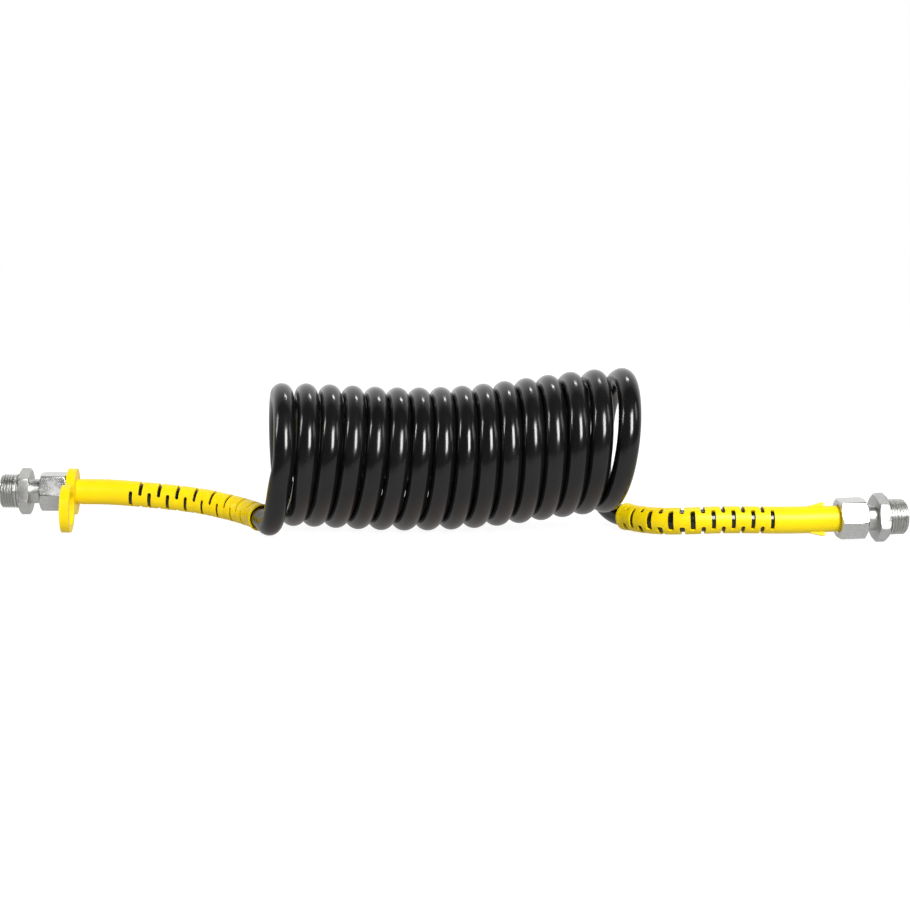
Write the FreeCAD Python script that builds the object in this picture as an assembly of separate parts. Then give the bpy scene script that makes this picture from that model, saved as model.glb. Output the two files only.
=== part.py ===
import FreeCAD, Part
import math
import os

# Coiled air-brake hose for a truck and trailer. Millimetres, +Z up, +X along the coil.
# The origin is on the floor, under the middle of the box round the fittings and sleeves.

# ---- hose ----
HOSE_OD = 12.5
HOSE_ID = 9.0

# ---- coil, as one fat solid round all the turns ----
COIL_OUTER_RADIUS = 41.5
COIL_AXIS = [(-108.0, 8.5, 45.4), (-25.0, 6.8, 41.0), (30.0, 5.5, 44.1), (126.0, 3.4, 57.5)]
COIL_END_LEFT = (-97.5, 8.3, 44.5)      # a point on the slanted end face
COIL_END_RIGHT = (104.0, 4.0, 53.4)
LEFT_FACE_SKEW = (-0.17, 0.0)           # how far the face moves along X per mm of Y and of Z
RIGHT_FACE_SKEW = (-0.073, 0.113)

# ---- fittings: a station is a distance along the fitting from the stud's free end ----
STUD_RADIUS = 10.0                      # M20 x 1.5
STUD_RELIEF_RADIUS = 8.9
STUD_THREAD_END = 9.3
STUD_END_CHAMFER = 1.0
HEX_START = 11.0
HEX_END = 16.9
HEX_ACROSS_FLATS = 24.0
HEX_FACE_RADIUS = 12.6                  # where the corner chamfer meets the face
NECK_RADIUS = 7.25
SPIGOT_START = 23.2
SPIGOT_END = 32.5
SPIGOT_RADIUS = 8.85                    # M18 x 1.5
PORT_RADIUS = 4.5
SEAT_STATION = 25.0
SEAT_RADIUS = 6.3
CONE_START = 26.4
CONE_START_RADIUS = 6.5
CONE_END_RADIUS = 7.65

NUT_START = 22.5
NUT_END = 37.5
NUT_ACROSS_FLATS = 21.0
NUT_FACE_RADIUS = 10.4
NUT_THREAD_RADIUS = 9.0
NUT_THREAD_END = 32.9
NUT_CONE_END = 34.7
NUT_THROAT_RADIUS = 6.55
NUT_REAR_START = 35.9
NUT_REAR_RADIUS = 7.7
CHAMFER_SLOPE = math.tan(math.radians(30.0))

RING_START = 27.5
RING_SHOULDER = 31.5
RING_BACK = 33.0
RING_END = 34.5
RING_NOSE_RADIUS = 6.65
RING_RADIUS = 7.35
RING_TAIL_RADIUS = 6.9

INSERT_FLANGE_END = 26.0
INSERT_END = 42.0
INSERT_BORE_RADIUS = 3.7

# ---- kink sleeve ----
SLEEVE_START = 36.0
SLEEVE_LENGTHS = {"left": 129.8, "right": 126.5}     # the left one is pulled a little longer
SLEEVE_RADIUS = 7.6
SLEEVE_BORE_RADIUS = 6.5
COLLAR_RADIUS = 7.35
COLLAR_LENGTH = 9.5
LIP_RADIUS = 7.9
LIP_LENGTH = 2.2
BARB_LENGTH = 8.0
BARB_HEIGHT = 1.9
BARB_WIDTH = 6.0
BARB_SINK = 0.15                        # of its low end into the sleeve
SLOT_FIRST = 39.3                       # from the sleeve's nut end to the first slot
SLOT_PITCHES = {"left": 5.55, "right": 5.4}
SLOT_RINGS = 16
SLOT_WIDTH = 2.2
SLOT_ANGLES = (95.0, 120.0)             # of the slots in even rings and in odd rings

# ---- hose clip: two rings in a figure of eight ----
CLIP_START = 38.0
CLIP_THICKNESS = 5.0
CLIP_BORE_RADIUS = 7.65
CLIP_RING_RADIUS = 13.7
CLIP_FREE_BORE_RADIUS = 9.7
CLIP_FORWARD = 24.0                     # from the sleeve's axis to the free ring's axis
CLIP_DOWN = 5.3
CLIP_WAIST = 8.5                        # half width of the neck between the rings

# ---- where each fitting stands: stud's free end, heading towards the hose, roll of the hexagons ----
LEFT_END = (-258.9, 16.0, 20.9)
LEFT_YAW = 8.75
LEFT_PITCH = -2.4
RIGHT_END = (260.8, -22.4, 14.2)
RIGHT_YAW = 180.0
RIGHT_PITCH = -2.0
HEX_ROLL = 12.0                         # of the flat that faces the front, up from level
NUT_ROLL = 27.5
LEFT_SLEEVE_ROLL = 25.0                 # of the first slots, down from the front
RIGHT_SLEEVE_ROLL = 14.0                # of the first slots, up from the front

# ---- hose routes, from the seat in each fitting to the coil; the first two points lie on the fitting's axis ----
FIRST_RUN = 40.0
LEFT_ROUTE = [
    (-148.0, 27.6, 13.2),
    (-127.0, 22.0, 10.0),
    (-114.5, 14.0, 8.6),
    (-106.0, 4.0, 8.4),
    (-100.5, -6.5, 8.1),
    (-96.4, -15.5, 7.3),
    (-93.2, -21.9, 12.2),
    (-90.6, -25.6, 22.5),
    (-88.5, -27.2, 34.0),
]
RIGHT_ROUTE = [
    (160.0, -22.5, 12.4),
    (138.0, -21.4, 11.2),
    (124.5, -15.8, 9.9),
    (115.5, -7.0, 8.9),
    (110.2, 4.4, 8.3),
    (107.8, 17.0, 8.4),
    (107.2, 29.0, 14.2),
    (107.3, 37.2, 26.0),
    (107.3, 39.8, 40.0),
]
RUN_SHARE = 0.45                        # of the shorter run that each arc takes up

X_AXIS = FreeCAD.Vector(1, 0, 0)
ORIGIN = FreeCAD.Vector(0, 0, 0)


def heading(yaw, pitch):
    """Unit vector for a compass turn from +X and a climb, in degrees."""
    y, p = math.radians(yaw), math.radians(pitch)
    return FreeCAD.Vector(math.cos(y) * math.cos(p), math.sin(y) * math.cos(p), math.sin(p))


def placement(end, yaw, pitch):
    """Takes +X to the fitting's axis and keeps +Z as upright as it can be."""
    turn = FreeCAD.Rotation(FreeCAD.Vector(0, 0, 1), yaw)
    climb = FreeCAD.Rotation(FreeCAD.Vector(0, 1, 0), -pitch)
    return FreeCAD.Placement(FreeCAD.Vector(*end), turn.multiply(climb))


def turned(profile):
    """Solid of revolution about +X from (station, radius) corners."""
    corners = [FreeCAD.Vector(x, 0, r) for x, r in profile]
    face = Part.Face(Part.makePolygon(corners + [corners[0]]))
    return face.revolve(ORIGIN, X_AXIS, 360)


def rod(start, end, radius):
    return Part.makeCylinder(radius, end - start, FreeCAD.Vector(start, 0, 0), X_AXIS)


def hexagon(start, end, across_flats, face_radius, roll):
    """Hexagonal prism along +X with its corners turned off at 30 degrees at both ends."""
    corner = across_flats / 2 / math.cos(math.radians(30))
    points = []
    for k in range(7):
        a = math.radians(30 + roll + 60 * k)
        points.append(FreeCAD.Vector(start, -corner * math.cos(a), corner * math.sin(a)))
    prism = Part.Face(Part.makePolygon(points)).extrude(FreeCAD.Vector(end - start, 0, 0))
    cut = (corner + 0.2 - face_radius) * CHAMFER_SLOPE
    blank = turned([
        (start, 0), (start, face_radius), (start + cut, corner + 0.2),
        (end - cut, corner + 0.2), (end, face_radius), (end, 0),
    ])
    return prism.common(blank)


def stud_adapter(roll):
    body = turned([
        (0, 0), (0, STUD_RADIUS - STUD_END_CHAMFER), (STUD_END_CHAMFER, STUD_RADIUS),
        (STUD_THREAD_END, STUD_RADIUS), (STUD_THREAD_END + 0.6, STUD_RELIEF_RADIUS),
        (HEX_START + 1, STUD_RELIEF_RADIUS), (HEX_START + 1, 0),
    ])
    body = body.fuse(hexagon(HEX_START, HEX_END, HEX_ACROSS_FLATS, HEX_FACE_RADIUS, roll))
    body = body.fuse(rod(HEX_END - 1, SPIGOT_START + 0.5, NECK_RADIUS))
    body = body.fuse(turned([
        (SPIGOT_START, 0), (SPIGOT_START, SPIGOT_RADIUS - 0.8), (SPIGOT_START + 0.8, SPIGOT_RADIUS),
        (SPIGOT_END - 0.6, SPIGOT_RADIUS), (SPIGOT_END, SPIGOT_RADIUS - 0.6), (SPIGOT_END, 0),
    ]))
    bore = turned([
        (-1, 0), (-1, PORT_RADIUS), (SEAT_STATION, PORT_RADIUS), (SEAT_STATION, SEAT_RADIUS),
        (CONE_START, SEAT_RADIUS), (CONE_START, CONE_START_RADIUS), (SPIGOT_END, CONE_END_RADIUS),
        (SPIGOT_END + 1, CONE_END_RADIUS), (SPIGOT_END + 1, 0),
    ])
    return body.cut(bore).removeSplitter()


def union_nut(roll):
    body = hexagon(NUT_START, NUT_END, NUT_ACROSS_FLATS, NUT_FACE_RADIUS, roll)
    hollow = turned([
        (NUT_START - 1, 0), (NUT_START - 1, NUT_THREAD_RADIUS), (NUT_THREAD_END, NUT_THREAD_RADIUS),
        (NUT_CONE_END, NUT_REAR_RADIUS), (NUT_CONE_END, NUT_THROAT_RADIUS),
        (NUT_REAR_START, NUT_THROAT_RADIUS), (NUT_REAR_START, NUT_REAR_RADIUS),
        (NUT_END - 0.5, NUT_REAR_RADIUS), (NUT_END, NUT_REAR_RADIUS + 0.6),
        (NUT_END + 1, NUT_REAR_RADIUS + 0.6), (NUT_END + 1, 0),
    ])
    return body.cut(hollow)


def cutting_ring():
    bore = HOSE_OD / 2
    return turned([
        (RING_START, bore), (RING_START, RING_NOSE_RADIUS), (RING_SHOULDER, RING_RADIUS),
        (RING_BACK, RING_RADIUS), (RING_END, RING_TAIL_RADIUS), (RING_END, bore),
    ])


def tube_insert():
    wall = HOSE_ID / 2
    return turned([
        (SEAT_STATION, INSERT_BORE_RADIUS), (SEAT_STATION, HOSE_OD / 2), (INSERT_FLANGE_END, HOSE_OD / 2),
        (INSERT_FLANGE_END, wall), (INSERT_END, wall), (INSERT_END, INSERT_BORE_RADIUS),
    ])


def hose_clip():
    """The ring at the back snaps on the sleeve's collar, and the one at the front is free."""
    along = FreeCAD.Vector(CLIP_THICKNESS, 0, 0)
    free = FreeCAD.Vector(CLIP_START, -CLIP_FORWARD, -CLIP_DOWN)
    snap = FreeCAD.Vector(CLIP_START, 0, 0)
    side = (free - snap).normalize().cross(X_AXIS).multiply(CLIP_WAIST)
    web = Part.Face(Part.makePolygon([snap + side, free + side, free - side, snap - side, snap + side]))
    clip = web.extrude(along)
    for centre in (snap, free):
        clip = clip.fuse(Part.makeCylinder(CLIP_RING_RADIUS, CLIP_THICKNESS, centre, X_AXIS))
    clip = clip.cut(Part.makeCylinder(CLIP_BORE_RADIUS, CLIP_THICKNESS, snap, X_AXIS))
    clip = clip.cut(Part.makeCylinder(CLIP_FREE_BORE_RADIUS, CLIP_THICKNESS, free, X_AXIS))
    return clip.removeSplitter()


def rounded(points):
    """Straight runs joined by tangent arcs, as edges in order, and the arcs' radii."""
    points = [FreeCAD.Vector(*p) for p in points]
    edges, radii, at = [], [], points[0]
    for before, here, after in zip(points, points[1:], points[2:]):
        back, ahead = before - here, after - here
        reach = RUN_SHARE * min(back.Length, ahead.Length)
        turn = math.pi - back.getAngle(ahead)
        radius = reach / math.tan(turn / 2)
        back.normalize()
        ahead.normalize()
        enter, leave = here + back * reach, here + ahead * reach
        towards = (back + ahead).normalize()
        centre = here + towards * (radius / math.cos(turn / 2))
        middle = centre - towards * radius
        edges.append(Part.LineSegment(at, enter).toShape())
        edges.append(Part.Arc(enter, middle, leave).toShape())
        radii.append(radius)
        at = leave
    edges.append(Part.LineSegment(at, points[-1]).toShape())
    return edges, radii


def stretch(edges, start, end):
    """The part of a route between two distances along it."""
    kept, passed = [], 0.0
    for edge in edges:
        low, high = max(start - passed, 0.0), min(end - passed, edge.Length)
        if high - low > 1e-6:
            first = edge.getParameterByLength(low)
            last = edge.getParameterByLength(high)
            kept.append(edge.Curve.toShape(first, last))
        passed += edge.Length
    return kept


def along(edges, distance):
    """Point and direction at a distance along a route."""
    for edge in edges:
        if distance <= edge.Length:
            t = edge.getParameterByLength(distance)
            return edge.valueAt(t), edge.tangentAt(t)
        distance -= edge.Length
    raise ValueError("the route is shorter than that")


def tube(edges, radius):
    """Round solid along a route."""
    start, direction = edges[0].Vertexes[0].Point, edges[0].tangentAt(edges[0].FirstParameter)
    ring = Part.Wire(Part.makeCircle(radius, start, direction))
    return Part.Wire(edges).makePipeShell([ring], True, False)


def slot(point, direction, facing, angle):
    """Cutter for one slot: a sector of a ring, centred on the side it faces."""
    placed = FreeCAD.Placement(point, FreeCAD.Rotation(direction, FreeCAD.Vector(0, 0, 0), facing, "XZY"))
    half = math.radians(angle / 2)
    far = SLEEVE_RADIUS * 3
    wedge = [FreeCAD.Vector(-SLOT_WIDTH / 2, 0, 0)]
    for a in (-half, half):
        wedge.append(FreeCAD.Vector(-SLOT_WIDTH / 2, far * math.sin(a), far * math.cos(a)))
    sector = Part.Face(Part.makePolygon(wedge + [wedge[0]])).extrude(FreeCAD.Vector(SLOT_WIDTH, 0, 0))
    ring = rod(-SLOT_WIDTH / 2, SLOT_WIDTH / 2, SLEEVE_RADIUS + 1).cut(
        rod(-SLOT_WIDTH / 2, SLOT_WIDTH / 2, SLEEVE_BORE_RADIUS - 0.4))
    cutter = ring.common(sector)
    cutter.Placement = placed
    return cutter


def barb(station, place, roll, up):
    """Wedge at a station on the fitting's axis, above or below it."""
    inner = up * (SLEEVE_BORE_RADIUS + 0.4)
    outline = [
        (station, inner),
        (station, up * (SLEEVE_RADIUS + BARB_HEIGHT)),
        (station + BARB_LENGTH, up * (SLEEVE_RADIUS - BARB_SINK)),
        (station + BARB_LENGTH, inner),
        (station, inner),
    ]
    corners = [FreeCAD.Vector(x, -BARB_WIDTH / 2, z) for x, z in outline]
    wedge = Part.Face(Part.makePolygon(corners)).extrude(FreeCAD.Vector(0, BARB_WIDTH, 0))
    wedge.rotate(ORIGIN, X_AXIS, roll)
    wedge.Placement = place.multiply(wedge.Placement)
    return wedge


def kink_sleeve(side, edges, place, roll):
    """Slotted sleeve bent along the hose. The route starts at the hose's seat."""
    start = SLEEVE_START - INSERT_FLANGE_END
    collar_end = start + COLLAR_LENGTH
    end = start + SLEEVE_LENGTHS[side]
    shell = tube(stretch(edges, start, collar_end), COLLAR_RADIUS)
    shell = shell.fuse(tube(stretch(edges, collar_end, end), SLEEVE_RADIUS))
    shell = shell.fuse(tube(stretch(edges, end - LIP_LENGTH, end), LIP_RADIUS))
    if side == "right":
        for up in (1, -1):
            shell = shell.fuse(barb(collar_end + INSERT_FLANGE_END, place, roll, up))
    shell = shell.cut(tube(stretch(edges, start, end), SLEEVE_BORE_RADIUS))
    cutters = []
    for k in range(SLOT_RINGS):
        point, direction = along(edges, start + SLOT_FIRST + k * SLOT_PITCHES[side])
        level = direction.cross(FreeCAD.Vector(0, 0, 1)).normalize()
        facing = level.multiply(-1 if level.y > 0 else 1)
        facing = FreeCAD.Rotation(direction, roll + 90 * (k % 2)).multVec(facing)
        for way in (1, -1):
            cutters.append(slot(point, direction, facing * way, SLOT_ANGLES[k % 2]))
    return shell.cut(Part.makeCompound(cutters))


def slanted(point, skew, side):
    """Big block beyond a slanted end face, to cut the coil's solid with."""
    size = 4 * COIL_OUTER_RADIUS
    px, py, pz = point
    corners = []
    for y, z in ((-size, -size), (size, -size), (size, size), (-size, size), (-size, -size)):
        corners.append(FreeCAD.Vector(px + skew[0] * y + skew[1] * z, py + y, pz + z))
    return Part.Face(Part.makePolygon(corners)).extrude(FreeCAD.Vector(side * size, 0, 0))


def coil_solid():
    edges, radii = rounded(COIL_AXIS)
    solid = tube(edges, COIL_OUTER_RADIUS)
    solid = solid.cut(slanted(COIL_END_LEFT, LEFT_FACE_SKEW, -1))
    return solid.cut(slanted(COIL_END_RIGHT, RIGHT_FACE_SKEW, 1))


def hose_tail(edges):
    return tube(edges, HOSE_OD / 2).cut(tube(edges, HOSE_ID / 2))


def save(shape, node):
    solids = shape.Solids
    if len(solids) != 1 or not solids[0].isValid():
        raise ValueError(node + " is not one valid solid")
    solids[0].exportStep(os.path.join("parts", node + ".step"))
    box = solids[0].BoundBox
    print("%-20s %9.0f mm3  x %.1f..%.1f  y %.1f..%.1f  z %.2f..%.2f" % (
        node, solids[0].Volume, box.XMin, box.XMax, box.YMin, box.YMax, box.ZMin, box.ZMax))


def build_end(side, end, yaw, pitch, route, sleeve_roll):
    """Everything at one end of the hose, up to the coil."""
    place = placement(end, yaw, pitch)
    roll = HEX_ROLL if side == "left" else -HEX_ROLL
    nut_roll = NUT_ROLL if side == "left" else -NUT_ROLL
    pieces = {
        "stud_adapter": stud_adapter(roll),
        "union_nut": union_nut(nut_roll),
        "cutting_ring": cutting_ring(),
        "tube_insert": tube_insert(),
    }
    for name, shape in pieces.items():
        shape.Placement = place.multiply(shape.Placement)
        save(shape, side + "_" + name)
    axis = heading(yaw, pitch)
    first = FreeCAD.Vector(*end) + axis * INSERT_FLANGE_END
    edges, radii = rounded([tuple(first), tuple(first + axis * FIRST_RUN)] + route)
    save(kink_sleeve(side, edges, place, sleeve_roll), side + "_kink_sleeve")
    tail = hose_tail(edges)
    save(tail, "hose_" + side + "_tail")
    length = sum(edge.Length for edge in edges)
    section = math.pi / 4 * (HOSE_OD ** 2 - HOSE_ID ** 2)
    print(side, "tail: length %.1f mm, volume over section times length %.4f, radii" % (
        length, tail.Volume / section / length), [round(r, 1) for r in radii])
    return place


os.makedirs("parts", exist_ok=True)
left_place = build_end("left", LEFT_END, LEFT_YAW, LEFT_PITCH, LEFT_ROUTE, LEFT_SLEEVE_ROLL)
build_end("right", RIGHT_END, RIGHT_YAW, RIGHT_PITCH, RIGHT_ROUTE, RIGHT_SLEEVE_ROLL)
clip = hose_clip()
clip.Placement = left_place.multiply(clip.Placement)
save(clip, "hose_clip")
save(coil_solid(), "hose_coil")
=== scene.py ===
"""Coiled black air-brake hose with yellow kink sleeves and zinc-plated fittings."""
import math

import bpy
import numpy as np
from mathutils import Matrix, Vector


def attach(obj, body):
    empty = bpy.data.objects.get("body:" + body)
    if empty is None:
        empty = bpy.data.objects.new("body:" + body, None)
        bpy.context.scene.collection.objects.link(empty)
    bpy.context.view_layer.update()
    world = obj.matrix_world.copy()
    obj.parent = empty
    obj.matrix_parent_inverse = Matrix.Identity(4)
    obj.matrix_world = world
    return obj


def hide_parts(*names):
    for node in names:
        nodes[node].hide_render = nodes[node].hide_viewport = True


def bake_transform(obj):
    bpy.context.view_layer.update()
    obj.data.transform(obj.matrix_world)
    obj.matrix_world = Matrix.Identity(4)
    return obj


MM = 0.001
SIDES = ("left", "right")

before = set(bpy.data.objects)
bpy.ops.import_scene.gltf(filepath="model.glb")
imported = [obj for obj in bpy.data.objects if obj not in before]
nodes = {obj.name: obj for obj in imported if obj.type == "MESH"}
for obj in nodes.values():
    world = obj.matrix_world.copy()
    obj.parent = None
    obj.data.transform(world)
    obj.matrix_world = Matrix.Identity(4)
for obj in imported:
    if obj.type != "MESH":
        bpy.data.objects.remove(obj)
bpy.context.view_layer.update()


# ---------------------------------------------------------------- camera
CAMERA_TARGET = Vector((0.0088, 0.00615, 0.0441))
CAMERA_DISTANCE = 0.716
CAMERA_ELEVATION = math.radians(10.0)
CAMERA_LENS = 48.84
CAMERA_SENSOR = 36.0


def make_camera():
    data = bpy.data.cameras.new("camera")
    data.lens = CAMERA_LENS
    data.sensor_width = CAMERA_SENSOR
    camera = bpy.data.objects.new("camera", data)
    back = Vector((0, -math.cos(CAMERA_ELEVATION), math.sin(CAMERA_ELEVATION)))
    camera.location = CAMERA_TARGET + back * CAMERA_DISTANCE
    camera.rotation_euler = (math.pi / 2 - CAMERA_ELEVATION, 0, 0)
    bpy.context.scene.collection.objects.link(camera)
    bpy.context.scene.camera = camera


make_camera()


# ---------------------------------------------------------------- hose line
HOSE_RADIUS = 6.25 * MM
SPLINE_STEPS = 7              # points read between two control points

# where each stud's free end is, and the way to the hose
FITTING_END = {"left": Vector((-0.2589, 0.0160, 0.0209)), "right": Vector((0.2608, -0.0224, 0.0142))}
FITTING_YAW = {"left": math.radians(8.75), "right": math.radians(180.0)}
FITTING_PITCH = {"left": math.radians(-2.4), "right": math.radians(-2.0)}
SEAT_STATION = 26.0 * MM          # where the hose's cut end stands in its fitting
STRAIGHT_STATIONS = (SEAT_STATION, 48.0 * MM, 66.0 * MM)

LEFT_ROUTE = [
    (-0.1480, 0.0276, 0.0132),
    (-0.1270, 0.0220, 0.0100),
    (-0.1145, 0.0140, 0.0086),
    (-0.1060, 0.0040, 0.0084),
    (-0.1005, -0.0065, 0.0079),
    (-0.0964, -0.0155, 0.0069),
    (-0.0932, -0.0219, 0.0122),
    (-0.0906, -0.0256, 0.0225),
    (-0.0885, -0.0272, 0.0340),
]
RIGHT_ROUTE = [
    (0.1600, -0.0225, 0.0124),
    (0.1380, -0.0214, 0.0112),
    (0.1245, -0.0158, 0.0099),
    (0.1155, -0.0070, 0.0089),
    (0.1085, 0.0036, 0.0082),
    (0.1025, 0.0156, 0.0078),
    (0.0976, 0.0272, 0.0114),
    (0.0968, 0.0348, 0.0226),
    (0.0978, 0.0394, 0.0380),
]

# the coil: its turns are counted along the hose, starting at 1 on the front of the left turn
FIRST_TURN = 1.0
LAST_TURN = 16.5
POINTS_PER_TURN = 16
COIL_RADIUS = 35.28 * MM
COIL_MIDDLE_TURN = 8.5
COIL_HALF_TURNS = 7.5
# how the turns are laid from one end (-1) to the other (+1), as polynomials in millimetres;
# a least-squares fit gave these coefficients and the coil's radius, and they weren't chosen by hand
ALONG = (2.69, 97.52, -3.33, -2.97, 2.44, 2.69)            # X of the middle of each turn
ACROSS = (6.15, -2.13)                                     # Y
HEIGHT = (42.19, 4.94, 11.97, -0.37, -5.61)                # Z: the coil sags in the middle
SLEW = (6.08, -3.51, 0.31, 0.95, 0.67)                     # X of a turn's front, less its middle
LEAN = (1.46, -4.86, 0.09, 5.43)                           # X of a turn's top, less its middle
GAP_TURN, GAP_SHIFT, GAP_REACH = 15.0, -0.7 * MM, 0.8      # the turn before the last gap leans to the left
BACK_SHIFT = -3.0 * MM                                     # of the last turn's back


def poly(coefficients, t):
    return sum(c * t ** k for k, c in enumerate(coefficients)) * MM


def coil_point(turn, spread):
    """A point on the coil. Spread moves it out from the turn's middle."""
    angle = 2 * math.pi * (turn - math.floor(turn))
    t = (turn - COIL_MIDDLE_TURN) / COIL_HALF_TURNS
    c, s = math.cos(angle), math.sin(angle)
    x = poly(ALONG, t) + poly(SLEW, t) * c + poly(LEAN, t) * s
    x += GAP_SHIFT * math.exp(-((turn - GAP_TURN) / GAP_REACH) ** 2)
    x += BACK_SHIFT * max(t, 0.0) * max(-c, 0.0) ** 2
    radius = COIL_RADIUS * spread
    return Vector((x, poly(ACROSS, t) - radius * c, poly(HEIGHT, t) + radius * s))


def heading(yaw, pitch):
    return Vector((math.cos(yaw) * math.cos(pitch), math.sin(yaw) * math.cos(pitch), math.sin(pitch)))


def control_points():
    """The hose from its seat in the left fitting to its seat in the right one."""
    ends = {}
    for side in SIDES:
        axis = heading(FITTING_YAW[side], FITTING_PITCH[side])
        ends[side] = [FITTING_END[side] + axis * station for station in STRAIGHT_STATIONS]
    # control points stand outside the circle that the spline draws through them
    spread = 1 / math.cos(math.pi / POINTS_PER_TURN)
    count = round((LAST_TURN - FIRST_TURN) * POINTS_PER_TURN)
    coil = [coil_point(FIRST_TURN + k / POINTS_PER_TURN, spread) for k in range(count + 1)]
    left = ends["left"] + [Vector(p) for p in LEFT_ROUTE]
    right = ends["right"] + [Vector(p) for p in RIGHT_ROUTE]
    return left + coil + right[::-1], len(left), len(left) + len(coil)


def spline_line(points, resolution):
    """Points read from the NURBS spline with these control points."""
    curve = bpy.data.curves.new("hose_line", "CURVE")
    curve.dimensions = "3D"
    spline = curve.splines.new("NURBS")
    spline.points.add(len(points) - 1)
    for point, co in zip(spline.points, points):
        point.co = (*co, 1.0)
    spline.order_u = 3
    spline.use_endpoint_u = True
    spline.resolution_u = resolution
    holder = bpy.data.objects.new("hose_line", curve)
    mesh = bpy.data.meshes.new_from_object(holder)
    line = np.array([v.co for v in mesh.vertices], float)
    bpy.data.meshes.remove(mesh)
    bpy.data.objects.remove(holder)
    bpy.data.curves.remove(curve)
    return line


def lengths_along(line):
    steps = np.linalg.norm(np.diff(line, axis=0), axis=1)
    return np.concatenate([[0.0], np.cumsum(steps)])


def unit(v):
    return v / np.linalg.norm(v, axis=-1, keepdims=True)


def directions(line):
    return unit(np.gradient(line, axis=0))


hose_points, coil_from, coil_to = control_points()
hose_line = spline_line(hose_points, SPLINE_STEPS)
hose_reach = lengths_along(hose_line)
hose_way = directions(hose_line)


def at_length(distance):
    """Point and direction on the hose's line."""
    point = np.array([np.interp(distance, hose_reach, hose_line[:, k]) for k in range(3)])
    way = np.array([np.interp(distance, hose_reach, hose_way[:, k]) for k in range(3)])
    return point, unit(way)


# ---------------------------------------------------------------- meshes
def grid_faces(rows, columns, closed=False):
    """Quads over a grid whose columns go round; closed joins the last row to the first."""
    r = np.arange(rows if closed else rows - 1)[:, None]
    c = np.arange(columns)[None, :]
    after_r, after_c = (r + 1) % rows, (c + 1) % columns
    quads = [r * columns + c, r * columns + after_c, after_r * columns + after_c, after_r * columns + c]
    return np.stack(quads, axis=-1).reshape(-1, 4).tolist()


SHARP_DEGREES = 35.0          # a fold over this is drawn as an edge
BEVEL_DEGREES = 40.0          # and over this it is rounded


def add_mesh(name, points, faces, material):
    data = bpy.data.meshes.new(name)
    data.from_pydata(np.asarray(points).reshape(-1, 3).tolist(), [], faces)
    data.shade_smooth()
    data.set_sharp_from_angle(angle=math.radians(SHARP_DEGREES))
    data.materials.append(material)
    obj = bpy.data.objects.new(name, data)
    bpy.context.scene.collection.objects.link(obj)
    return obj


def add_bevel(obj, width, segments=2):
    bevel = obj.modifiers.new("rounded edges", "BEVEL")
    bevel.width = width
    bevel.segments = segments
    bevel.limit_method = "ANGLE"
    bevel.angle_limit = math.radians(BEVEL_DEGREES)


# ---------------------------------------------------------------- materials
def shader(name):
    material = bpy.data.materials.new(name)
    material.use_nodes = True
    tree = material.node_tree
    return material, tree, tree.nodes["Principled BSDF"]


def coordinates(tree):
    return tree.nodes.new("ShaderNodeTexCoord").outputs["Object"]


def noise(tree, vector, scale, detail=3.0, roughness=0.5):
    node = tree.nodes.new("ShaderNodeTexNoise")
    node.inputs["Scale"].default_value = scale
    node.inputs["Detail"].default_value = detail
    node.inputs["Roughness"].default_value = roughness
    tree.links.new(vector, node.inputs["Vector"])
    return node.outputs["Fac"]


NOISE_LOW, NOISE_HIGH = 0.3, 0.7        # what nearly all of a noise's values lie between


def spread_to(tree, value, low, high, to_low, to_high):
    """The value, as it goes from low to high, as a number from to_low to to_high."""
    node = tree.nodes.new("ShaderNodeMapRange")
    for name, number in (("From Min", low), ("From Max", high), ("To Min", to_low), ("To Max", to_high)):
        node.inputs[name].default_value = number
    tree.links.new(value, node.inputs["Value"])
    return node.outputs["Result"]


def ramp(tree, value, stops):
    """A colour for the value, from (place, colour) stops."""
    node = tree.nodes.new("ShaderNodeValToRGB")
    elements = node.color_ramp.elements
    while len(elements) < len(stops):
        elements.new(0.5)
    for element, (place, colour) in zip(elements, stops):
        element.position = place
        element.color = (*colour, 1.0)
    tree.links.new(value, node.inputs["Fac"])
    return node.outputs["Color"]


def mix(tree, factor, first, second):
    node = tree.nodes.new("ShaderNodeMix")
    node.data_type = "RGBA"
    tree.links.new(factor, node.inputs["Factor"])
    for socket, value in ((node.inputs[6], first), (node.inputs[7], second)):
        if isinstance(value, tuple):
            socket.default_value = (*value, 1.0)
        else:
            tree.links.new(value, socket)
    return node.outputs[2]


def bump(tree, bsdf, height, strength, distance):
    node = tree.nodes.new("ShaderNodeBump")
    node.inputs["Strength"].default_value = strength
    node.inputs["Distance"].default_value = distance
    tree.links.new(height, node.inputs["Height"])
    tree.links.new(node.outputs["Normal"], bsdf.inputs["Normal"])


def down_facing(tree):
    """1 where the surface faces the floor in the scene, 0 where it is upright or faces up; it places the
    nylon's painted warm reflection.
    """
    geometry = tree.nodes.new("ShaderNodeNewGeometry")
    split = tree.nodes.new("ShaderNodeSeparateXYZ")
    tree.links.new(geometry.outputs["Normal"], split.inputs["Vector"])
    return spread_to(tree, split.outputs["Z"], -0.35, -1.0, 0.0, 1.0)


NYLON_DUST = (0.10, 0.10, 0.095)
# brown of the nylon's painted warm reflection on surfaces that face the floor
NYLON_PAINTED_REFLECTION = (0.035, 0.020, 0.012)


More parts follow.
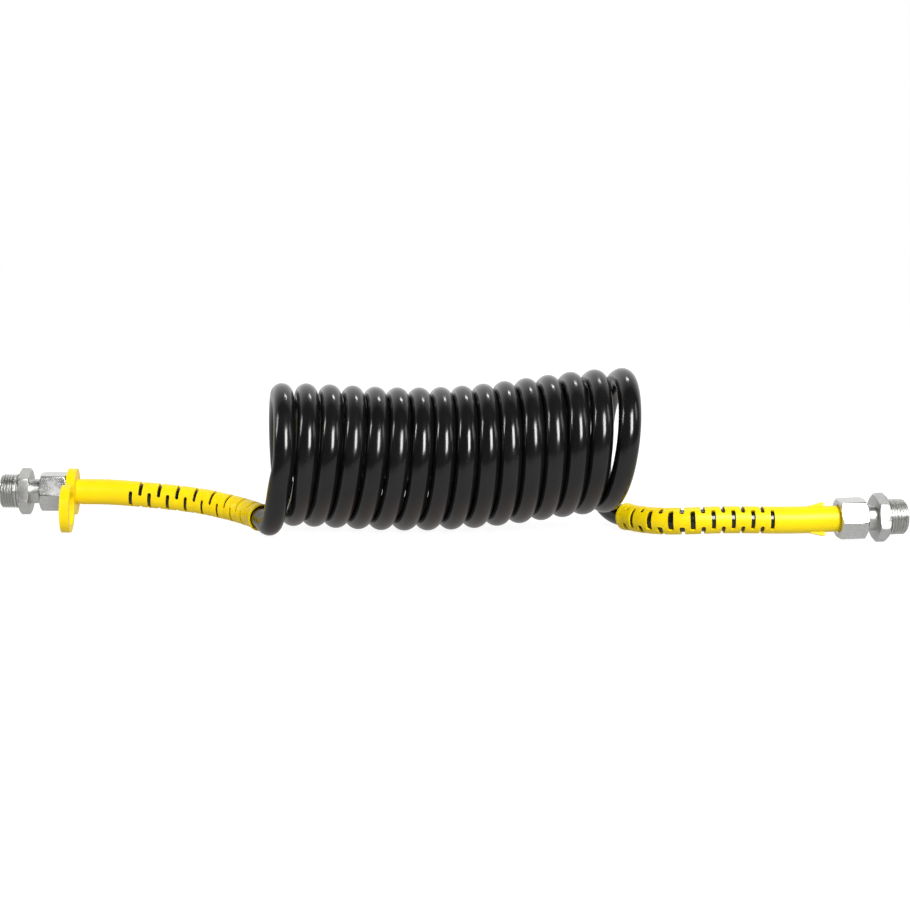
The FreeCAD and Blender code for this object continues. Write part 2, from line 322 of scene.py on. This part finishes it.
def black_nylon():
    """Its base colour turns brown where it faces the floor: a painted warm reflection, not the nylon's own
    colour.
    """
    material, tree, bsdf = shader("black_nylon")
    place = coordinates(tree)
    haze = noise(tree, place, 60.0, 4.0)
    dust = noise(tree, place, 2600.0, 2.0, 0.6)
    specks = spread_to(tree, dust, 0.70, 0.76, 0.0, 1.0)
    body = ramp(tree, haze, [(NOISE_LOW, (0.0030, 0.0030, 0.0032)), (NOISE_HIGH, (0.0060, 0.0058, 0.0058))])
    dusty = mix(tree, specks, body, NYLON_DUST)
    # base colour mixed to brown where the surface faces down: painted warm reflection
    tree.links.new(mix(tree, down_facing(tree), dusty, NYLON_PAINTED_REFLECTION), bsdf.inputs["Base Color"])
    tree.links.new(spread_to(tree, haze, NOISE_LOW, NOISE_HIGH, 0.13, 0.22), bsdf.inputs["Roughness"])
    bsdf.inputs["IOR"].default_value = 1.47
    bump(tree, bsdf, dust, 0.05, 0.0001)
    return material


def yellow_plastic(name, bright, deep):
    material, tree, bsdf = shader(name)
    place = coordinates(tree)
    patches = noise(tree, place, 45.0, 3.0)
    grain = noise(tree, place, 1500.0, 2.0)
    tree.links.new(ramp(tree, patches, [(NOISE_LOW, deep), (NOISE_HIGH, bright)]), bsdf.inputs["Base Color"])
    tree.links.new(spread_to(tree, patches, NOISE_LOW, NOISE_HIGH, 0.42, 0.33), bsdf.inputs["Roughness"])
    bsdf.inputs["Specular IOR Level"].default_value = 0.18
    bsdf.inputs["Subsurface Weight"].default_value = 0.25
    bsdf.inputs["Subsurface Radius"].default_value = (0.002, 0.0015, 0.0003)
    bsdf.inputs["Subsurface Scale"].default_value = 1.0
    bump(tree, bsdf, grain, 0.06, 0.0002)
    return material


ROUGHNESS_RANGE = 0.14
SPECKLE_SHADE = 0.72          # of the plating's colour, in its darker grains


def plated_steel(name, rough, speckle, colour):
    material, tree, bsdf = shader(name)
    place = coordinates(tree)
    cloud = noise(tree, place, 160.0, 4.0)
    grain = noise(tree, place, 1900.0, 3.0, 0.7)
    darker = tuple(SPECKLE_SHADE * c for c in colour)
    tree.links.new(mix(tree, spread_to(tree, grain, 0.35, 0.65, 0.0, 1.0), darker, colour),
                   bsdf.inputs["Base Color"])
    polish = spread_to(tree, cloud, NOISE_LOW, NOISE_HIGH, rough, rough + ROUGHNESS_RANGE)
    tree.links.new(polish, bsdf.inputs["Roughness"])
    bsdf.inputs["Metallic"].default_value = 1.0
    bump(tree, bsdf, grain, speckle, 0.00015)
    return material


def brass():
    material, tree, bsdf = shader("brass")
    place = coordinates(tree)
    cloud = noise(tree, place, 300.0, 3.0)
    tree.links.new(ramp(tree, cloud, [(NOISE_LOW, (0.62, 0.42, 0.15)), (NOISE_HIGH, (0.75, 0.55, 0.24))]),
                   bsdf.inputs["Base Color"])
    tree.links.new(spread_to(tree, cloud, NOISE_LOW, NOISE_HIGH, 0.25, 0.4), bsdf.inputs["Roughness"])
    bsdf.inputs["Metallic"].default_value = 1.0
    return material


def strength_seen(tree, mirrored, seen_directly):
    """One strength for what the camera sees directly, and another for all other rays."""
    rays = tree.nodes.new("ShaderNodeLightPath")
    seen = tree.nodes.new("ShaderNodeMix")
    seen.data_type = "FLOAT"
    tree.links.new(rays.outputs["Is Camera Ray"], seen.inputs["Factor"])
    tree.links.new(mirrored, seen.inputs[2])
    seen.inputs[3].default_value = seen_directly
    return seen.outputs[0]


FLOOR_SEEN, FLOOR_NEAR_GLOW, FLOOR_FAR_GLOW = 0.93, 0.45, 0.06
FLOOR_PALE_TO, FLOOR_DIM_FROM = 0.03, 0.60      # distances in front of the object


def pale_floor():
    """White to the camera. What the hose mirrors is pale under the object and dim further away."""
    material, tree, bsdf = shader("pale_floor")
    place = coordinates(tree)
    cloud = noise(tree, place, 3.0, 2.0)
    tree.links.new(ramp(tree, cloud, [(NOISE_LOW, (0.19, 0.19, 0.19)), (NOISE_HIGH, (0.20, 0.20, 0.20))]),
                   bsdf.inputs["Base Color"])
    bsdf.inputs["Roughness"].default_value = 0.9
    bsdf.inputs["Specular IOR Level"].default_value = 0.0
    bsdf.inputs["Emission Color"].default_value = (1.0, 1.0, 1.0, 1.0)
    split = tree.nodes.new("ShaderNodeSeparateXYZ")
    tree.links.new(place, split.inputs["Vector"])
    dim = spread_to(tree, split.outputs["Y"], -FLOOR_DIM_FROM, -FLOOR_PALE_TO,
                    FLOOR_FAR_GLOW, FLOOR_NEAR_GLOW)
    tree.links.new(strength_seen(tree, dim, FLOOR_SEEN), bsdf.inputs["Emission Strength"])
    return material


NYLON = black_nylon()
YELLOW = {
    "left": yellow_plastic("yellow_left", (0.86, 0.63, 0.002), (0.81, 0.57, 0.002)),
    # the right sleeve's yellow is a darker copy of the left's: painted shade that tones down how brightly
    # the right side is lit
    "right": yellow_plastic("yellow_right_painted_shade", (0.80, 0.60, 0.003), (0.75, 0.55, 0.002)),
}
GRAINY_ZINC = plated_steel("grainy_zinc", 0.26, 0.5, (0.62, 0.62, 0.60))
SATIN_ZINC = plated_steel("satin_zinc", 0.20, 0.25, (0.68, 0.68, 0.67))
BRASS = brass()


# ---------------------------------------------------------------- hose
HOSE_SEGMENTS = 32


def upright_frames(way):
    """Two vectors across each direction that turn as little as they can along the line."""
    first = np.cross(way[0], (0.0, 0.0, 1.0))
    normals = [unit(first)]
    for before, here in zip(way[:-1], way[1:]):
        carried = normals[-1] - here * normals[-1].dot(here)
        normals.append(unit(carried))
    normals = np.array(normals)
    return normals, np.cross(way, normals)


def make_hose():
    angles = np.linspace(0, 2 * math.pi, HOSE_SEGMENTS, endpoint=False)
    across, up = upright_frames(hose_way)
    ring = across[:, None] * np.cos(angles)[None, :, None] + up[:, None] * np.sin(angles)[None, :, None]
    points = hose_line[:, None] + HOSE_RADIUS * ring
    rows = len(hose_line)
    faces = grid_faces(rows, HOSE_SEGMENTS)
    faces.append(list(range(HOSE_SEGMENTS))[::-1])
    faces.append([(rows - 1) * HOSE_SEGMENTS + k for k in range(HOSE_SEGMENTS)])
    hose = add_mesh("hose_tube", points, faces, NYLON)
    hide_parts("hose_left_tail", "hose_coil", "hose_right_tail")
    return hose


def stretch_with_coil(hose):
    """Bakes the hose's placement into its mesh points."""
    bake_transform(hose)


hose = make_hose()
stretch_with_coil(hose)


# ---------------------------------------------------------------- turned fittings
ROUND_STEPS = 180
TURNED_ANGLES = np.radians(np.arange(ROUND_STEPS) * 360.0 / ROUND_STEPS)
SIXTH = math.pi / 3
CHAMFER_SLOPE = math.tan(math.radians(30.0))
HEX_CORNER_SOFTNESS, HEX_CHAMFER_SOFTNESS = 0.10, 0.06
HEX_CHAMFER_RINGS = 12
HEX_FACE_STEP = 0.25
THREAD_RINGS_PER_PITCH = 16


def ring(station, radius):
    return (station, np.full(ROUND_STEPS, float(radius)))


def soft_least(values, softness):
    return -softness * np.log(sum(np.exp(-v / softness) for v in values))


def hexagon(start, end, across_flats, face_radius):
    """Rings over a hexagon with turned corners, its edges a little rounded."""
    corner = across_flats / 2 / math.cos(SIXTH / 2)
    flats = []
    for k in range(6):
        facing = np.cos(TURNED_ANGLES - k * SIXTH)
        flats.append(across_flats / 2 / np.maximum(facing, 0.3))
    prism = soft_least(flats, HEX_CORNER_SOFTNESS)
    cut = (corner - face_radius) * CHAMFER_SLOPE
    stations = np.concatenate([
        np.linspace(start, start + cut, HEX_CHAMFER_RINGS), np.linspace(end - cut, end, HEX_CHAMFER_RINGS)])
    rings = [ring(start, face_radius - HEX_FACE_STEP)]
    for station in stations:
        cone = face_radius + min(station - start, end - station) / CHAMFER_SLOPE
        rings.append((station, soft_least([prism, np.full(ROUND_STEPS, cone)], HEX_CHAMFER_SOFTNESS)))
    rings.append(ring(end, face_radius - HEX_FACE_STEP))
    return rings


def thread(start, end, radius, pitch, depth, chamfer):
    """Rings over a right-handed screw thread that runs out at its end."""
    rings = []
    for station in np.arange(start, end, pitch / THREAD_RINGS_PER_PITCH):
        phase = station / pitch - TURNED_ANGLES / (2 * math.pi)
        wave = np.abs((phase % 1.0) * 2 - 1)
        groove = np.clip(wave * 1.35 - 0.2, 0.0, 1.0)
        fade = min(1.0, (end - station) / pitch)
        surface = radius - depth * groove * fade
        rings.append((station, np.minimum(surface, radius - chamfer + (station - start))))
    return rings


def turned(name, rings, side, roll, material):
    """A closed piece turned about the fitting's axis from (station, radii) rings, in millimetres."""
    yaw, pitch = FITTING_YAW[side], FITTING_PITCH[side]
    place = Matrix.Translation(FITTING_END[side]) @ Matrix.Rotation(yaw, 4, "Z")
    place = place @ Matrix.Rotation(-pitch, 4, "Y")
    angles = TURNED_ANGLES + math.radians(roll)
    points = []
    for station, radii in rings:
        # angle 0 faces the front of the left fitting, and the angle grows about the station's axis
        level = np.full(ROUND_STEPS, station)
        points.append(np.stack([level, -radii * np.cos(angles), -radii * np.sin(angles)], 1))
    faces = [face[::-1] for face in grid_faces(len(rings), ROUND_STEPS, closed=True)]
    points = np.array(points).reshape(-1, 3) * MM
    points = points @ np.array(place.to_3x3()).T + np.array(place.translation)
    obj = add_mesh(name, points, faces, material)
    return obj


# profiles are (station, radius) points in millimetres, from the stud's free end
STUD_FACE = ((0, 4.8), (0, 8.7))
STUD_THREAD = {"start": 0.15, "end": 9.3, "radius": 10.0, "pitch": 1.5, "depth": 0.92, "chamfer": 1.1}
STUD_RELIEF = ((9.5, 8.9), (11.0, 8.9))
ADAPTER_HEX = {"start": 11.0, "end": 16.9, "across_flats": 24.0, "face_radius": 12.6}
NECK_AND_SPIGOT = ((16.9, 7.25), (23.2, 7.25), (23.2, 8.05), (24.0, 8.85), (31.9, 8.85), (32.5, 8.25))
CONE_SEAT_AND_PORT = ((32.5, 7.65), (26.4, 6.5), (26.4, 6.3), (25.0, 6.3), (25.0, 4.5), (0.3, 4.5))
NUT_HEX = {"start": 22.5, "end": 37.5, "across_flats": 21.0, "face_radius": 10.4}
NUT_BACK_AND_THROAT = ((37.5, 8.3), (37.0, 7.7), (35.9, 7.7), (35.9, 6.55), (34.7, 6.55), (34.7, 7.7))
NUT_CONE_AND_MOUTH = ((32.9, 9.0), (22.9, 9.0), (22.5, 9.4))
ADAPTER_ROLL, NUT_ROLL = -12.0, -27.5


def profile(points):
    return [ring(station, radius) for station, radius in points]


def make_adapter(side, roll):
    rings = profile(STUD_FACE) + thread(**STUD_THREAD) + profile(STUD_RELIEF)
    rings += hexagon(**ADAPTER_HEX) + profile(NECK_AND_SPIGOT) + profile(CONE_SEAT_AND_PORT)
    adapter = turned(side + "_adapter_threaded", rings, side, roll, GRAINY_ZINC)
    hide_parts(side + "_stud_adapter")
    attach(adapter, side + "_end")


def make_nut(side, roll):
    rings = hexagon(**NUT_HEX) + profile(NUT_BACK_AND_THROAT) + profile(NUT_CONE_AND_MOUTH)
    nut = turned(side + "_nut_chamfered", rings, side, roll, SATIN_ZINC)
    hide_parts(side + "_union_nut")
    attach(nut, side + "_nut")


for side, sign in (("left", 1), ("right", -1)):
    make_adapter(side, ADAPTER_ROLL * sign)
    make_nut(side, NUT_ROLL * sign)
    for node in (side + "_cutting_ring", side + "_tube_insert"):
        for slot in nodes[node].material_slots:
            slot.material = BRASS


# ---------------------------------------------------------------- kink sleeves
SLEEVE_STATION = 36.0 * MM
SLEEVE_RADIUS = 7.6 * MM
SLEEVE_BORE = 6.5 * MM
COLLAR_RADIUS = 7.35 * MM
COLLAR_LENGTH = 9.5 * MM
SLEEVE_LENGTH = {"left": 129.8 * MM, "right": 126.5 * MM}
LIP_LENGTH = 2.2 * MM
LIP_RISE = 0.35 * MM
SLOT_RINGS = 16
SLOT_FIRST = 39.3 * MM
SLOT_PITCH = {"left": 5.55 * MM, "right": 5.4 * MM}
SLOT_WIDTH = 2.2 * MM
SLOT_HALF_ANGLES = (47.5, 60.0)        # of the slots in even rings and in odd rings
SLOT_END_ANGLE = 7.5                   # that a slot's rounded end takes up
SLOT_CLOSED_WIDTH = 0.15               # of a slot's width, left where its ring is whole
SLEEVE_STEP = 2.5                      # degrees between the mesh's columns
COLLAR_ROW_STEP = 3.0 * MM
COLLAR_EDGE_GAP = 0.02 * MM
PLAIN_ROWS = 9                         # between the collar and the first slot
SLEEVE_ROLL = {"left": -25.0, "right": 14.0}
SLEEVE_EDGE_ROUND = 0.18 * MM
CLIP_EDGE_ROUND = 0.5 * MM
SLEEVE_ANGLES = np.arange(0, 360, SLEEVE_STEP)
BARB_LENGTH, BARB_WIDTH, BARB_HEIGHT = 8.0 * MM, 6.0 * MM, 1.9 * MM
BARBS = {"left": (), "right": (1, -1)}  # above and below the sleeve


def from_side(side, distance):
    """Point and direction at a distance from the hose's cut end on that side."""
    if side == "left":
        return at_length(distance)
    point, way = at_length(hose_reach[-1] - distance)
    return point, -way


def sleeve_frame(side, distance):
    """Point, direction, and the vectors to the front and upwards from it."""
    point, way = from_side(side, distance)
    front = unit(np.cross(way, (0.0, 0.0, 1.0)))
    if front[1] > 0:
        front = -front
    up = np.cross(front, way) if side == "right" else np.cross(way, front)
    return point, way, front, up * (1 if up[2] > 0 else -1)


def slot_opening(ring_number):
    """Half the slot's width at each angle, and which strips between angles are cut through."""
    half = SLOT_HALF_ANGLES[ring_number % 2]
    turned_by = 90.0 * (ring_number % 2)
    away = np.abs((SLEEVE_ANGLES - turned_by + 90.0) % 180.0 - 90.0)
    into_end = np.clip((away - (half - SLOT_END_ANGLE)) / SLOT_END_ANGLE, 0.0, 1.0)
    shape = np.maximum(np.sqrt(1 - into_end ** 2), SLOT_CLOSED_WIDTH)
    middle = (SLEEVE_ANGLES + SLEEVE_STEP / 2 - turned_by + 90.0) % 180.0 - 90.0
    return shape * SLOT_WIDTH / 2, np.abs(middle) < half


def sleeve_rows(side):
    """The sleeve's rows: land, distances round it, outer and inner radius, strips cut after it."""
    plain = np.zeros(len(SLEEVE_ANGLES))
    whole = np.zeros(len(SLEEVE_ANGLES), bool)
    rows = []
    for distance in np.arange(0.0, COLLAR_LENGTH, COLLAR_ROW_STEP):
        rows.append((None, plain + distance, COLLAR_RADIUS, SLEEVE_BORE, whole))
    rows.append((None, plain + COLLAR_LENGTH - COLLAR_EDGE_GAP, COLLAR_RADIUS, SLEEVE_BORE, whole))
    pitch = SLOT_PITCH[side]
    for distance in np.linspace(COLLAR_LENGTH, SLOT_FIRST - pitch, PLAIN_ROWS):
        rows.append((None, plain + distance, SLEEVE_RADIUS, SLEEVE_BORE, whole))
    for k in range(SLOT_RINGS):
        centre = SLOT_FIRST + k * pitch
        opening, cut = slot_opening(k)
        rows.append((k, centre - opening, SLEEVE_RADIUS, SLEEVE_BORE, cut))
        rows.append((k + 1, centre + opening, SLEEVE_RADIUS, SLEEVE_BORE, whole))
        if k < SLOT_RINGS - 1:
            rows.append((k + 1, plain + centre + pitch / 2, SLEEVE_RADIUS, SLEEVE_BORE, whole))
    lip = SLEEVE_LENGTH[side] - LIP_LENGTH
    for share, rise in ((0.0, 0.0), (0.3, 0.6), (0.6, 1.0), (1.0, 1.0)):
        rows.append((SLOT_RINGS, plain + lip + share * LIP_LENGTH,
                     SLEEVE_RADIUS + rise * LIP_RISE, SLEEVE_BORE + rise * LIP_RISE, whole))
    return rows


def row_points(side, land, distances, radius, angles):
    """Points of a row. The land between two slots stays straight, and bends come in the slots."""
    base = SLEEVE_STATION - SEAT_STATION
    if land is None:
        middle = distances.mean()
    else:
        middle = SLOT_FIRST + (land - 0.5) * SLOT_PITCH[side]
    point, way, front, up = sleeve_frame(side, base + middle)
    around = front * np.cos(angles)[:, None] + up * np.sin(angles)[:, None]
    return point + way * (distances - middle)[:, None] + radius * around


def barb_points(side, roll, up_sign):
    """A wedge on the sleeve that holds the clip on its collar."""
    base = SLEEVE_STATION - SEAT_STATION + COLLAR_LENGTH
    point, way, front, up = sleeve_frame(side, base)
    out = up * math.cos(roll) * up_sign - front * math.sin(roll) * up_sign
    across = np.cross(way, out)
    corners = []
    for along, outward in ((0, SLEEVE_BORE + 0.5 * MM), (0, SLEEVE_RADIUS + BARB_HEIGHT),
                           (BARB_LENGTH, SLEEVE_RADIUS - 0.15 * MM), (BARB_LENGTH, SLEEVE_BORE + 0.5 * MM)):
        for sideways in (-BARB_WIDTH / 2, BARB_WIDTH / 2):
            corners.append(point + way * along + out * outward + across * sideways)
    faces = [[0, 2, 3, 1], [2, 4, 5, 3], [4, 6, 7, 5], [6, 0, 1, 7], [0, 6, 4, 2], [1, 3, 5, 7]]
    return corners, faces


def sleeve_faces(kept, offset):
    """Faces of a tube wall with slots through it. Kept says which strips aren't cut away."""
    rows, columns = kept.shape
    faces = []
    for r in range(rows):
        for c in range(columns):
            if not kept[r, c]:
                continue
            d = (c + 1) % columns
            a, b = r * columns + c, r * columns + d
            e, f = a + columns, b + columns
            faces.append([a, b, f, e])
            faces.append([a + offset, e + offset, f + offset, b + offset])
            if r == 0 or not kept[r - 1, c]:
                faces.append([a, a + offset, b + offset, b])
            if r == rows - 1 or not kept[r + 1, c]:
                faces.append([e, f, f + offset, e + offset])
            if not kept[r, c - 1]:
                faces.append([a, e, e + offset, a + offset])
            if not kept[r, d]:
                faces.append([b, b + offset, f + offset, f])
    return faces


def make_sleeve(side, roll_degrees):
    """A positive roll turns the first slots up from the front, and a negative one down."""
    roll = math.radians(roll_degrees)
    angles = np.radians(SLEEVE_ANGLES) + roll
    rows = sleeve_rows(side)
    outer = [row_points(side, land, at, radius, angles) for land, at, radius, _, _ in rows]
    inner = [row_points(side, land, at, bore, angles) for land, at, _, bore, _ in rows]
    points = np.concatenate([np.array(outer).reshape(-1, 3), np.array(inner).reshape(-1, 3)])
    kept = np.array([~row[4] for row in rows[:-1]])
    faces = sleeve_faces(kept, len(rows) * len(SLEEVE_ANGLES))
    for up_sign in BARBS[side]:
        corners, wedge = barb_points(side, roll, up_sign)
        faces += [[len(points) + k for k in face] for face in wedge]
        points = np.concatenate([points, np.array(corners)])
    sleeve = add_mesh(side + "_sleeve_slotted", points, faces, YELLOW[side])
    add_bevel(sleeve, SLEEVE_EDGE_ROUND)
    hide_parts(side + "_kink_sleeve")
    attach(sleeve, side + "_end")


for side, roll_degrees in SLEEVE_ROLL.items():
    make_sleeve(side, roll_degrees)

for slot in nodes["hose_clip"].material_slots:
    slot.material = YELLOW["left"]
add_bevel(nodes["hose_clip"], CLIP_EDGE_ROUND, segments=3)


# ---------------------------------------------------------------- floor and light
FLOOR_REACH = 6.0
STUDIO_FRONT, STUDIO_BACK, BACKGROUND_SEEN = 0.10, 1.1, 1.0
STUDIO_DARK_TO, STUDIO_PALE_FROM = 0.15, 0.65   # of the way from the object's front to its back
LIGHT_AIM = (0, 0, 0.04)


def make_floor():
    near, far = -FLOOR_REACH, FLOOR_REACH
    corners = [(near, near, 0), (far, near, 0), (far, far, 0), (near, far, 0)]
    floor = add_mesh("floor", corners, [[0, 1, 2, 3]], pale_floor())


def area_light(name, location, target, size, power):
    data = bpy.data.lights.new(name, "AREA")
    data.shape = "RECTANGLE"
    data.size, data.size_y = size
    data.energy = power
    light = bpy.data.objects.new(name, data)
    light.location = location
    light.rotation_euler = (Vector(target) - Vector(location)).to_track_quat("-Z", "Y").to_euler()
    bpy.context.scene.collection.objects.link(light)


def make_world():
    """A studio that is dark in front of the object and white behind it, against a white background."""
    world = bpy.data.worlds.new("studio")
    bpy.context.scene.world = world
    world.use_nodes = True
    tree = world.node_tree
    background = tree.nodes["Background"]
    source = tree.nodes.new("ShaderNodeTexCoord")
    split = tree.nodes.new("ShaderNodeSeparateXYZ")
    tree.links.new(source.outputs["Generated"], split.inputs["Vector"])
    studio = spread_to(tree, split.outputs["Y"], STUDIO_DARK_TO, STUDIO_PALE_FROM,
                       STUDIO_FRONT, STUDIO_BACK)
    tree.links.new(strength_seen(tree, studio, BACKGROUND_SEEN), background.inputs["Strength"])
    background.inputs["Color"].default_value = (1.0, 1.0, 1.0, 1.0)


def from_direction(azimuth, elevation, distance):
    """A place round the object: azimuth 0 is the viewer's side, 90 the right."""
    a, e = math.radians(azimuth), math.radians(elevation)
    return Vector((math.sin(a) * math.cos(e), -math.cos(a) * math.cos(e), math.sin(e))) * distance


LIGHTS = (
    # name, azimuth, elevation, distance, (width, height), watts
    ("key_strip", 22.0, 36.0, 1.5, (0.50, 0.85), 33.0),
    ("back_top", 170.0, 61.0, 1.5, (0.30, 0.14), 2.5),
    ("left_strip", -92.0, 27.0, 1.4, (0.10, 0.50), 4.0),
    ("right_fill", 75.0, 35.0, 1.6, (0.40, 0.60), 2.0),
)

bpy.context.scene.view_settings.view_transform = "Standard"
make_floor()
make_world()
for light_name, azimuth, elevation, distance, size, watts in LIGHTS:
    area_light(light_name, from_direction(azimuth, elevation, distance), LIGHT_AIM, size, watts)
